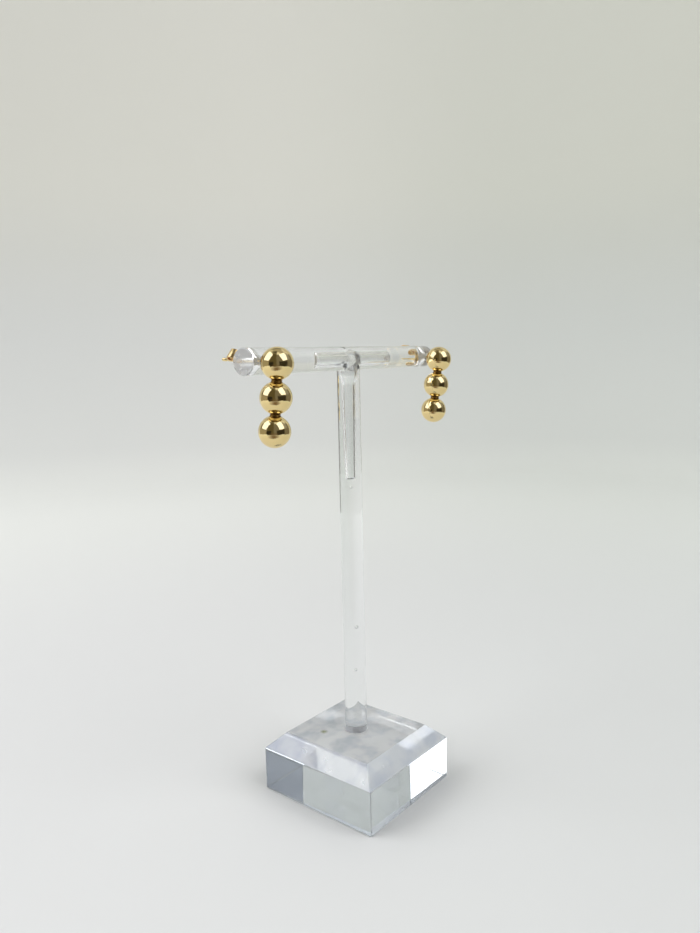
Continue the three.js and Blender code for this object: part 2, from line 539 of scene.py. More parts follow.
def waves(
    tree: bpy.types.NodeTree, place: bpy.types.NodeSocket, pitch: float, depth: float, noise: dict[str, float]
) -> bpy.types.Node:
    """Shallow uneven waves in a skin.

    Args:
        tree: The material's nodes.
        place: Where a point lies, in metres.
        pitch: The waves' size in millimetres.
        depth: Their height in millimetres.
        noise: How ragged they are, by the noise's own settings.

    Returns:
        The bump that they make.
    """
    cloud = add_node(tree, "TexNoise", {"Scale": 1 / (pitch * MM), **noise}, {"Vector": place})
    rise = {"Strength": 1.0, "Distance": depth * MM}
    return add_node(tree, "Bump", rise, {"Height": cloud.outputs["Fac"]})


def patches(
    tree: bpy.types.NodeTree,
    place: bpy.types.NodeSocket,
    pitch: float,
    noise: dict[str, float],
    edge: tuple[float, float],
    values: tuple[float, float] = (0.0, 1.0),
) -> bpy.types.NodeSocket:
    """A value that changes from place to place in uneven patches.

    Args:
        tree: The material's nodes.
        place: Where a point lies, in metres.
        pitch: The patches' size in millimetres.
        noise: How ragged they are, by the noise's own settings.
        edge: Between which heights of the noise the value changes.
        values: The value outside the patches and in them.

    Returns:
        The value's output.
    """
    cloud = add_node(tree, "TexNoise", {"Scale": 1 / (pitch * MM), **noise}, {"Vector": place})
    spans = {"From Min": edge[0], "From Max": edge[1], "To Min": values[0], "To Max": values[1]}
    return add_node(tree, "MapRange", spans, {"Value": cloud.outputs["Fac"]}).outputs["Result"]


@dataclass(frozen=True)
class Finish:
    """A finish whose patterns are laid out in the stand's own frame.

    Attributes:
        name: The material's name.
    """

    name: str

    def shader(self, tree: bpy.types.NodeTree, place: bpy.types.NodeSocket) -> bpy.types.Node:
        """Adds the finish's nodes to its material.

        Args:
            tree: The material's nodes.
            place: Where a point lies, in metres.

        Returns:
            The shader.
        """
        raise NotImplementedError

    @cache
    def make(self) -> bpy.types.Material:
        """Builds the material once, for every piece that has the finish.

        Returns:
            The material.
        """
        material, tree = new_material(self.name)
        place = add_node(tree, "TexCoord").outputs["Object"]
        add_node(tree, "OutputMaterial", links={"Surface": self.shader(tree, place).outputs["BSDF"]})
        return material


@dataclass(frozen=True)
class CastAcrylic(Finish):
    """Clear PMMA, cast and polished: water-clear, sharp bright reflections, a very faint cool tint.

    Attributes:
        name: The material's name.
        tint: The colour that light keeps on its way in and out.
        ior: PMMA has 1.49 in air.
        roughness: Of the polished skin.
        smear_roughness: Where fingers have smeared it.
        ripple_pitch: Size in millimetres of the skin's slow ripple.
        ripple_depth: Its height in millimetres.
        smear_pitch: Size in millimetres of the smears.
        smear_detail: How ragged they are.
        clarity: What its skin lets through; fine scratches and dust scatter the rest.
        smudge: Its tint where it is smudged, or nothing for a clean skin.
        smudge_pitch: Size in millimetres of the smudges.
        speck: Where a speck of dirt sticks to it, or nothing.
        speck_tone: The dirt's colour.
        speck_run: From where to where the dirt fades out, in millimetres from its middle.
    """

    name: str = "cast_acrylic"
    tint: str = "#FDFEFE"
    ior: float = 1.49
    roughness: float = 0.01
    smear_roughness: float = 0.05
    ripple_pitch: float = 7.0
    ripple_depth: float = 0.004
    smear_pitch: float = 4.0
    smear_detail: float = 5.0
    clarity: float = 0.985
    smudge: str | None = None
    smudge_pitch: float = 6.0
    speck: tuple[float, float, float] | None = None
    speck_tone: str = "#868C58"
    speck_run: tuple[float, float] = (0.35, 1.3)

    def shader(self, tree: bpy.types.NodeTree, place: bpy.types.NodeSocket) -> bpy.types.Node:
        """Adds the acrylic's slow ripple, its smears and its smudges.

        Args:
            tree: The material's nodes.
            place: Where a point lies, in metres.

        Returns:
            The shader.
        """
        ripple = waves(tree, place, self.ripple_pitch, self.ripple_depth, {"Detail": 1.0, "Roughness": 0.4})
        ragged = {"Detail": self.smear_detail, "Roughness": 0.6}
        gloss = patches(
            tree, place, self.smear_pitch, ragged, (0.52, 0.72), (self.roughness, self.smear_roughness)
        )
        links = {"Roughness": gloss, "Normal": ripple.outputs["Normal"]}
        if self.smudge:
            links["Base Color"] = self.smudged(tree, place)
        settings = {"Base Color": linear(self.tint), "IOR": self.ior, "Transmission Weight": self.clarity}
        return add_node(tree, "BsdfPrincipled", settings, links)

    def smudged(self, tree: bpy.types.NodeTree, place: bpy.types.NodeSocket) -> bpy.types.NodeSocket:
        """The tint with its smudges and its speck of dirt.

        Args:
            tree: The material's nodes.
            place: Where a point lies, in metres.

        Returns:
            The colour's output.
        """
        soft = {"Detail": 2.0, "Roughness": 0.5, "Distortion": 0.3}
        share = patches(tree, place, self.smudge_pitch, soft, (0.42, 0.66))
        tones = {"Color1": linear(self.tint), "Color2": linear(self.smudge)}
        colour = add_node(tree, "MixRGB", tones, {"Fac": share}).outputs["Color"]
        if not self.speck:
            return colour
        gap = add_node(
            tree, "VectorMath", {"operation": "DISTANCE", 1: Vector(self.speck) * MM}, {"Vector": place}
        )
        inner, outer = (radius * MM for radius in self.speck_run)
        fade = {"From Min": inner, "From Max": outer, "To Min": 1.0, "To Max": 0.0}
        dirt = add_node(tree, "MapRange", fade, {"Value": gap.outputs["Value"]})
        speck = add_node(
            tree,
            "MixRGB",
            {"Color2": linear(self.speck_tone)},
            {"Fac": dirt.outputs["Result"], "Color1": colour},
        )
        return speck.outputs["Color"]


@dataclass(frozen=True)
class CementSeam(Finish):
    """Solvent cement between two acrylic faces: nearly the same index, so the joint only just shows.

    Attributes:
        name: The material's name.
        tint: The colour that one passage leaves.
        ior: Of acrylic against the cured cement.
        roughness: Of the slightly etched faces.
        clarity: What it lets through; tiny bubbles scatter the rest.
        blotch_pitch: Size in millimetres of its uneven spots.
        blotch_depth: Their height in millimetres.
    """

    name: str = "acrylic_cement_seam"
    tint: str = "#FEFEFF"
    ior: float = 1.012
    roughness: float = 0.06
    clarity: float = 1.0
    blotch_pitch: float = 1.6
    blotch_depth: float = 0.008

    def shader(self, tree: bpy.types.NodeTree, place: bpy.types.NodeSocket) -> bpy.types.Node:
        """Adds the cement's uneven spots.

        Args:
            tree: The material's nodes.
            place: Where a point lies, in metres.

        Returns:
            The shader.
        """
        blotches = waves(tree, place, self.blotch_pitch, self.blotch_depth, {"Detail": 2.0})
        settings = {
            "Base Color": linear(self.tint),
            "IOR": self.ior,
            "Transmission Weight": self.clarity,
            "Roughness": self.roughness,
        }
        return add_node(tree, "BsdfPrincipled", settings, {"Normal": blotches.outputs["Normal"]})


@dataclass(frozen=True)
class GoldPlate(Finish):
    """Pale yellow gold over brass: a mirror with a warm tone, marked by hairlines.

    Attributes:
        name: The material's name.
        tone: The metal's colour head on.
        roughness: Where the polish is best.
        worn_roughness: Where handling has dulled it.
        handling_pitch: Size in millimetres of the dulled patches.
        hairline_pitch: Spacing in millimetres of the hairlines, drawn wider than real so that they show.
        hairline_length: How long they run, in millimetres.
        hairline_depth: Their depth in millimetres.
        hairline_lie: How the polisher's strokes lie, as turns about X, Y and Z in radians.
        ripple_pitch: Size in millimetres of the polisher's shallow waves.
        ripple_depth: Their depth in millimetres.
    """

    name: str = "polished_gold_plate"
    tone: str = "#EFD79C"
    roughness: float = 0.05
    worn_roughness: float = 0.11
    handling_pitch: float = 2.5
    hairline_pitch: float = 0.12
    hairline_length: float = 2.0
    hairline_depth: float = 0.0004
    hairline_lie: tuple[float, float, float] = (0.5, 0.3, 0.8)
    ripple_pitch: float = 0.8
    ripple_depth: float = 0.028

    def shader(self, tree: bpy.types.NodeTree, place: bpy.types.NodeSocket) -> bpy.types.Node:
        """Adds the plate's dulled patches, its hairlines and its shallow waves.

        Args:
            tree: The material's nodes.
            place: Where a point lies, in metres.

        Returns:
            The shader.
        """
        ragged = {"Detail": 4.0, "Roughness": 0.6}
        gloss = patches(
            tree, place, self.handling_pitch, ragged, (0.35, 0.7), (self.roughness, self.worn_roughness)
        )
        fine, slow = 1 / (self.hairline_pitch * MM), 1 / (self.hairline_length * MM)
        lie = {"Rotation": self.hairline_lie, "Scale": (fine, slow, slow)}
        strokes = add_node(tree, "Mapping", lie, {"Vector": place})
        streaks = add_node(
            tree,
            "TexNoise",
            {"Scale": 1.0, "Detail": 2.0, "Distortion": 0.3},
            {"Vector": strokes.outputs["Vector"]},
        )
        hairlines = add_node(
            tree,
            "Bump",
            {"Strength": 1.0, "Distance": self.hairline_depth * MM},
            {"Height": streaks.outputs["Fac"]},
        )
        ripple = waves(tree, place, self.ripple_pitch, self.ripple_depth, {"Detail": 1.0, "Roughness": 0.4})
        tree.links.new(hairlines.outputs["Normal"], ripple.inputs["Normal"])
        return add_node(
            tree,
            "BsdfPrincipled",
            {"Base Color": linear(self.tone), "Metallic": 1.0},
            {"Roughness": gloss, "Normal": ripple.outputs["Normal"]},
        )


@dataclass(frozen=True)
class Paper(Finish):
    """Matt white paper: spreads light evenly, no gloss. Its tones are painted shading: painted shade makes it
    darker on the table and to one side, and painted tones make the sweep's foot, wall and top lighter or
    darker as the light falls there.

    Attributes:
        name: The material's name.
        near: Its colour on the table, darkened there as painted shade.
        far: Its colour at the foot of the sweep, a painted lighter tone for the light there.
        ring: The radii between which it turns from near to far, in metres.
        wall: Its painted tone above the bend's start, for how the light falls there.
        wall_run: The heights between which it turns to that, in metres.
        high: Its painted tone high on the sweep, for how the light falls there.
        high_run: The heights between which it turns to that, in metres.
        shade: Painted shade: what its far right side keeps of that colour.
        shade_way: The way in which the painted shade darkens it, in degrees from +X towards +Y.
        shade_run: The distances along that way between which the painted shade darkens it, in metres.
    """

    name: str = "backdrop_paper_painted_shading"
    near: str = "#DDDEE0"
    far: str = "#EAECEB"
    ring: tuple[float, float] = (0.12, 0.5)
    wall: str = "#E1E3E3"
    wall_run: tuple[float, float] = (-0.01, 0.03)
    high: str = "#EBEBE5"
    high_run: tuple[float, float] = (0.14, 0.38)
    shade: str = "#F2F4F2"
    shade_way: float = -51.0
    shade_run: tuple[float, float] = (-0.15, 0.25)

    def shader(self, tree: bpy.types.NodeTree, place: bpy.types.NodeSocket) -> bpy.types.Node:
        """Adds the paper's painted shading tones, each laid over the ones before it.

        Args:
            tree: The material's nodes.
            place: Where a point lies, in metres.

        Returns:
            The shader.
        """
        here = {"Vector": place}
        rise = add_node(tree, "VectorMath", {"operation": "DOT_PRODUCT", 1: (0, 0, 1)}, here)
        flat = add_node(tree, "VectorMath", {"operation": "MULTIPLY", 1: (1, 1, 0)}, here)
        reach = add_node(tree, "VectorMath", {"operation": "LENGTH"}, {"Vector": flat.outputs["Vector"]})
        way = towards(self.shade_way, 0)
        side = add_node(tree, "VectorMath", {"operation": "DOT_PRODUCT", 1: way}, here)
        # Painted shading: the table keeps the darker near tone as painted shade, the sweep's foot, wall and
        # top get painted tones for how light falls there, and the last step lays painted shade towards the
        # right.
        steps = (
            (reach, self.ring, "MIX", self.far),
            (rise, self.wall_run, "MIX", self.wall),
            (rise, self.high_run, "MIX", self.high),
            (side, self.shade_run, "MULTIPLY", self.shade),
        )
        below: dict[str, bpy.types.NodeSocket] = {}
        for measure, (start, end), blend, tone in steps:
            run = {"interpolation_type": "SMOOTHSTEP", "From Min": start, "From Max": end}
            share = add_node(tree, "MapRange", run, {"Value": measure.outputs["Value"]})
            tones = {"blend_type": blend, "Color1": linear(self.near), "Color2": linear(tone)}
            mix = add_node(tree, "MixRGB", tones, {"Fac": share.outputs["Result"], **below})
            below = {"Color1": mix.outputs["Color"]}
        matt = {"Roughness": 0.9, "Specular IOR Level": 0.1}
        return add_node(tree, "BsdfPrincipled", matt, {"Base Color": mix.outputs["Color"]})


@dataclass(frozen=True)
class Finishes:
    """Every finish on the object.

    Attributes:
        rod: The polished rods: clear as glass.
        block: The thick block: bends light more strongly, and looks faintly blue through its depth.
        dusty: The block's top: dust and wiping marks veil it with soft pale clouds.
        scuffed: Its back chamfer: blurs what shows through, without a veil.
        milled: Its left chamfer: the cutter's marks make it milky and bluish.
        hazed: Its front chamfer: so finely scratched that it is nearly opaque, a pale blue-grey.
        void_wall: The void's skin, which shrank away from the mould: satin.
        pitted: The same where the limbs meet: rougher, so it blurs more.
        handled: The bar's end that is gripped: fingers have dulled it.
        sawn: The bar's end faces: frosted by the saw.
        seam: The cement round the post's foot, which hardly shows.
        cloudy_seam: The cement at the socket's mouth: tiny bubbles make a pale grey ring.
        gold: The balls and pins: bright, with shallow waves that break up what they mirror.
        stamped: The butterfly backs: duller, with coarser marks from the press.
        solder: The joints between the balls: dull, and dark brown as painted shade for the shaded gap between
            the balls.
    """

    rod: Finish = CastAcrylic()
    block: Finish = CastAcrylic(name="thick_cast_acrylic", tint="#E6EEF6", ior=1.68, clarity=0.965)
    dusty: Finish = replace(
        block,
        name="dusty_cast_acrylic",
        tint="#FEFEFF",
        smear_roughness=0.14,
        clarity=0.64,
        smudge="#DBE0E6",
        speck=(-7.6, 6.5, 17.6),
    )
    scuffed: Finish = replace(
        block,
        name="scuffed_acrylic",
        tint="#F6F8FA",
        roughness=0.15,
        smear_roughness=0.3,
        smear_pitch=3.0,
        smear_detail=2.0,
        clarity=0.93,
    )
    milled: Finish = replace(
        block,
        name="milled_acrylic",
        tint="#F7F9FD",
        roughness=0.1,
        smear_roughness=0.3,
        ripple_pitch=3.0,
        smear_detail=1.5,
        clarity=0.62,
        smudge="#DCE2EE",
    )
    hazed: Finish = replace(milled, name="hazed_acrylic", tint="#D6DBE0", clarity=0.2, smudge="#C8CFDA")
    void_wall: Finish = CastAcrylic(
        name="shrinkage_void_wall", roughness=0.07, smear_roughness=0.12, smear_detail=1.0, clarity=0.96
    )
    pitted: Finish = replace(
        void_wall, name="pitted_void_wall", roughness=0.14, smear_roughness=0.26, clarity=0.88
    )
    handled: Finish = CastAcrylic(
        name="handled_acrylic", roughness=0.12, smear_roughness=0.26, smear_detail=2.0, clarity=0.92
    )
    sawn: Finish = replace(
        handled, name="sawn_acrylic", tint="#FBFCFF", roughness=0.2, smear_roughness=0.4, clarity=0.52
    )
    seam: Finish = CementSeam()
    cloudy_seam: Finish = CementSeam(name="cloudy_cement_seam", tint="#FDFDFE", clarity=0.2)
    gold: Finish = GoldPlate()
    stamped: Finish = GoldPlate(
        name="stamped_gold_plate",
        tone="#EDCF94",
        roughness=0.12,
        worn_roughness=0.26,
        handling_pitch=0.8,
        hairline_pitch=0.08,
        hairline_depth=0.002,
    )
    # Painted shade: the dark brown tone stands in for the shade and dark reflections in the gap between the
    # balls.
    solder: Finish = GoldPlate(
        name="gold_solder_painted_shade", tone="#7E5F2E", roughness=0.18, worn_roughness=0.32, ripple_pitch=0.5
    )


# ------------------------------------------------------------------------------ stand


class BlockFace(IntEnum):
    """The block's kinds of face, in the order of its finishes."""

    SIDE = 0
    SOCKET = 1
    TOP = 2
    LEFT_CHAMFER = 3
    BACK_CHAMFER = 4
    FRONT_CHAMFER = 5
    SOCKET_MOUTH = 6


class BarFace(IntEnum):
    """The T's kinds of face, in the order of its finishes."""

    SKIN = 0
    FOOT = 1
    END = 2
    VOID = 3
    VOID_JOINT = 4
    HANDLED = 5


@dataclass
class BaseBlock:
    """The chamfered foot, with the socket that the post is cemented into.

    Attributes:
        finishes: The object's finishes.
        node: The CAD node that it stands for.
        chamfer_inset: How far the top face is set in from the sides.
        chamfer_rise: The chamfer's height.
        edge: The width of the polished-over edges.
        socket_radius: Of the bore for the post.
        socket_depth: Of the bore below the top face.
        cement_rise: How far down the socket's wall the cement is cloudy.
    """

    finishes: Finishes
    node: str = "base_block"
    chamfer_inset: float = 4.8
    chamfer_rise: float = 4.6
    edge: float = 0.32
    socket_radius: float = 3.36
    socket_depth: float = 15.5
    cement_rise: float = 3.5

    def __post_init__(self) -> None:
        """Takes the block's corners from its CAD node."""
        self.low, self.high = node_box(self.node)

    @property
    def top(self) -> float:
        """The height of the top face."""
        return self.high.z

    def block(self) -> bmesh.types.BMesh:
        """Makes the solid block with its chamfer and softened edges.

        Returns:
            The block's closed skin.
        """
        bm = bmesh.new()
        levels = [(0.0, self.low.z), (0.0, self.top - self.chamfer_rise), (self.chamfer_inset, self.top)]
        rings = [
            [bm.verts.new((x * (self.high.x - inset), y * (self.high.y - inset), z)) for x, y in CORNERS]
            for inset, z in levels
        ]
        bridge(bm, rings)
        bm.faces.new(rings[0][::-1])
        bm.faces.new(rings[-1])
        bmesh.ops.bevel(
            bm, geom=bm.edges, offset=self.edge, offset_type="WIDTH", segments=2, profile=0.5, affect="EDGES"
        )
        return bm

    def kind(self, face: bpy.types.MeshPolygon) -> BlockFace:
        """Tells what kind of face one of the block's polygons belongs to.

        Args:
            face: The polygon.

        Returns:
            Its kind.
        """
        middle, normal = face.center / MM, face.normal
        in_bore = math.hypot(middle.x, middle.y) < self.socket_radius + NEAR
        if in_bore and self.low.z + 1 < middle.z < self.top - NEAR:
            return BlockFace.SOCKET_MOUTH if middle.z > self.top - self.cement_rise else BlockFace.SOCKET
        if normal.z > 0.9:
            return BlockFace.TOP
        if normal.z > 0.4 and normal.x < 0.5:
            if abs(normal.y) > 0.5:
                return BlockFace.BACK_CHAMFER if normal.y > 0 else BlockFace.FRONT_CHAMFER
            return BlockFace.LEFT_CHAMFER
        return BlockFace.SIDE

    def build(self) -> bpy.types.Object:
        """Builds and dresses the block.

        Returns:
            The block.
        """
        socket = Rod(
            Vector((0, 0, self.top - self.socket_depth)),
            Vector((0, 0, self.top + 1)),
            self.socket_radius,
            empty=True,
        )
        obj = make_object("acrylic_base_block", self.block())
        mouth = self.socket_depth - self.cement_rise
        carve(obj, [make_object("socket_tool", socket.mesh([mouth]))], "DIFFERENCE")
        true_normals(obj, [socket])
        finishes = {
            BlockFace.SIDE: self.finishes.block,
            BlockFace.SOCKET: self.finishes.seam,
            BlockFace.TOP: self.finishes.dusty,
            BlockFace.LEFT_CHAMFER: self.finishes.milled,
            BlockFace.BACK_CHAMFER: self.finishes.scuffed,
            BlockFace.FRONT_CHAMFER: self.finishes.hazed,
            BlockFace.SOCKET_MOUTH: self.finishes.cloudy_seam,
        }
        dress(obj, finishes.values(), self.kind)
        stand_for(obj, self.node)
        return obj


@dataclass
class Crossbar:
    """Where the crossbar lies: its middle, its turn on the base, and its holes.

    Attributes:
        radius: Of the bar.
        twist: Its turn about Z in degrees.
        hole_reach: From the post's axis to each pin hole.
        node: The CAD node that it is part of.
    """

    radius: float = 3.35
    twist: float = 4.6
    hole_reach: float = 40.3
    node: str = "t_bar"

    def __post_init__(self) -> None:
        """Takes the T's corners from its CAD node."""
        self.low, self.high = node_box(self.node)

    @property
    def height(self) -> float:
        """The height of the bar's axis."""
        return self.high.z - self.radius

    @property
    def length(self) -> float:
        """The bar's length, from how far the turned bar reaches along X."""
        angle = math.radians(self.twist)
        return 2 * (self.high.x - self.radius * math.sin(angle)) / math.cos(angle)

    def place(self) -> Matrix:
        """Takes the bar's own frame, with its axis along X through the origin, to the stand."""
        return shift(z=self.height) @ turn(self.twist, Axis.Z)

    def at(self, x: float, y: float = 0.0, z: float = 0.0) -> Vector:
        """A point of the bar's own frame, in the stand's frame."""
        return self.place() @ Vector((x, y, z))


@dataclass
class TBar:
    """The post and crossbar, moulded in one, with the sealed void that cooling left inside.

    Attributes:
        finishes: The object's finishes.
        bar: Where the crossbar lies.
        seam_top: The height up to which the post stands in cement.
        post_radius: Of the post.
        post_edge: The rounding of the post's foot.
        end_edge: The rounding of the bar's end faces.
        hole_radius: Of the cross holes for the ear pins.
        handled_from: Where along the bar its much handled, duller end starts.
        void_radius: Of the void along the bar.
        void_left: How far the void reaches towards -X, where it ends nearly square.
        void_left_edge: The rounding of that end.
        void_right: How far it reaches towards +X, where it ends round.
        void_drop: How far it lies below the bar's axis.
        void_taper: How much of its radius is gone at its right end.
        void_joint: How far from the T the void's skin is pitted.
        throat_radius: Of the void where it leaves the bar for the post.
        throat_length: How far the throat reaches below the bar's axis.
        leg_radius: Of the void down the post, below the throat.
        leg_taper: How much of it is gone at its foot.
        leg_edge: The rounding of its foot.
        leg_depth: How far the leg reaches below the bar's axis.
        bubbles: Each bubble in the post, as (x, y, height, radius).
        bubble_length: A bubble's length along the post, against its radius.
    """

    finishes: Finishes
    bar: Crossbar
    seam_top: float
    post_radius: float = 3.3
    post_edge: float = 0.2
    end_edge: float = 0.3
    hole_radius: float = 1.1
    handled_from: float = 24.0
    void_radius: float = 1.1
    void_left: float = 17.4
    void_left_edge: float = 0.45
    void_right: float = 19.6
    void_drop: float = 0.14
    void_taper: float = 0.12
    void_joint: float = 4.0
    throat_radius: float = 1.15
    throat_length: float = 5.5
    leg_radius: float = 1.42
    leg_taper: float = 0.42
    leg_edge: float = 0.4
    leg_depth: float = 34.6
    bubbles: tuple[tuple[float, float, float, float], ...] = (
        (0.05, 0.0, 92.3, 0.26),
        (0.5, -0.2, 49.9, 0.36),
        (0.15, -0.1, 36.6, 0.3),
    )
    bubble_length: float = 2.6

    def outer_rods(self) -> tuple[Rod, Rod]:
        """Lays out the T's round walls.

        Returns:
            The crossbar and the post.
        """
        half = self.bar.length / 2
        ends = self.bar.at(-half), self.bar.at(half)
        crossbar = Rod(*ends, self.bar.radius, self.end_edge, self.end_edge)
        foot, head = Vector((0, 0, self.bar.low.z)), Vector((0, 0, self.bar.height))
        return crossbar, Rod(foot, head, self.post_radius, start_edge=self.post_edge)

    def holes(self) -> list[Rod]:
        """Lays out the cross holes.

        Returns:
            Both bores, running past the bar.
        """
        reach = self.bar.radius + 1
        return [
            Rod(
                self.bar.at(side * self.bar.hole_reach, -reach),
                self.bar.at(side * self.bar.hole_reach, reach),
                self.hole_radius,
                segments=96,
                empty=True,
            )
            for side in (-1, 1)
        ]

    def void(self) -> Cavity:
        """Lays out the void along the bar, and its throat and leg down the post.

        Returns:
            The void.
        """
        along = Rod(
            self.bar.at(-self.void_left, 0, -self.void_drop),
            self.bar.at(self.void_right, 0, -self.void_drop),
            self.void_radius,
            start_edge=self.void_left_edge,
            end_edge=self.void_radius - self.void_taper,
            taper=self.void_taper,
        )
        throat = Rod(
            Vector((0, 0, self.bar.height - self.void_drop)),
            Vector((0, 0, self.bar.height - self.throat_length)),
            self.throat_radius,
            start_edge=self.throat_radius,
            end_edge=self.throat_radius,
        )
        leg = Rod(
            Vector((0, 0, self.bar.height - self.throat_length / 2)),
            Vector((0, 0, self.bar.height - self.leg_depth)),
            self.leg_radius,
            start_edge=self.leg_radius,
            end_edge=self.leg_edge,
            taper=self.leg_taper,
        )
        return Cavity((along, throat, leg))

    def bubble(self, x: float, y: float, height: float, radius: float) -> Cavity:
        """Lays out one round bubble, drawn out a little along the post.

        Args:
            x: Its place across the post, towards +X.
            y: Its place across the post, towards +Y.
            height: Its height above the table.
            radius: Its radius.

        Returns:
            The bubble.
        """
        start = Vector((x, y, height - radius / 2))
        end = start + Vector((0, 0, self.bubble_length * radius))
        return Cavity((Rod(start, end, radius, radius, radius),), grain=0.1)

    def kind(self, face: bpy.types.MeshPolygon, void: Cavity) -> BarFace:
        """Tells what kind of face one of the T's polygons belongs to.

        Args:
            face: The polygon.
            void: The void in the T.

        Returns:
            Its kind.
        """
        middle = face.center / MM
        along = (self.bar.place().inverted() @ middle).x
        if middle.z < self.seam_top:
            return BarFace.FOOT
        if abs(along) > (self.bar.length - self.end_edge) / 2:
            return BarFace.END
        if abs(void.reading(middle)[0]) < NEAR:
            at_joint = middle.length > self.bar.height - self.void_joint and abs(middle.x) < self.void_joint
            return BarFace.VOID_JOINT if at_joint else BarFace.VOID
        return BarFace.HANDLED if along > self.handled_from else BarFace.SKIN

    def build(self) -> bpy.types.Object:
        """Builds and dresses the T.

        Returns:
            The T.
        """
        crossbar, post = self.outer_rods()
        holes = self.holes()
        obj = make_object("acrylic_t_bar", crossbar.mesh())
        seam = self.seam_top - self.bar.low.z
        carve(obj, [make_object("post_tool", post.mesh([seam]))], "UNION")
        carve(obj, [make_object("hole_tool", hole.mesh()) for hole in holes], "DIFFERENCE")
        void = self.void()
        hollows = [void, *(self.bubble(*bubble) for bubble in self.bubbles)]
        bm = bmesh.new()
        bm.from_mesh(obj.data)
        for hollow in hollows:
            skin = hollow.build("hollow_skin")
            bm.from_mesh(skin.data)
            bpy.data.meshes.remove(skin.data)
        bm.to_mesh(obj.data)
        bm.free()
        obj.data.shade_smooth()
        true_normals(obj, [crossbar, post, *holes, *hollows])
        finishes = {
            BarFace.SKIN: self.finishes.rod,
            BarFace.FOOT: self.finishes.seam,
            BarFace.END: self.finishes.sawn,
            BarFace.VOID: self.finishes.void_wall,
            BarFace.VOID_JOINT: self.finishes.pitted,
            BarFace.HANDLED: self.finishes.handled,
        }
        dress(obj, finishes.values(), lambda face: self.kind(face, void))
        stand_for(obj, self.bar.node)
        return obj


# ------------------------------------------------------------------------------ earrings


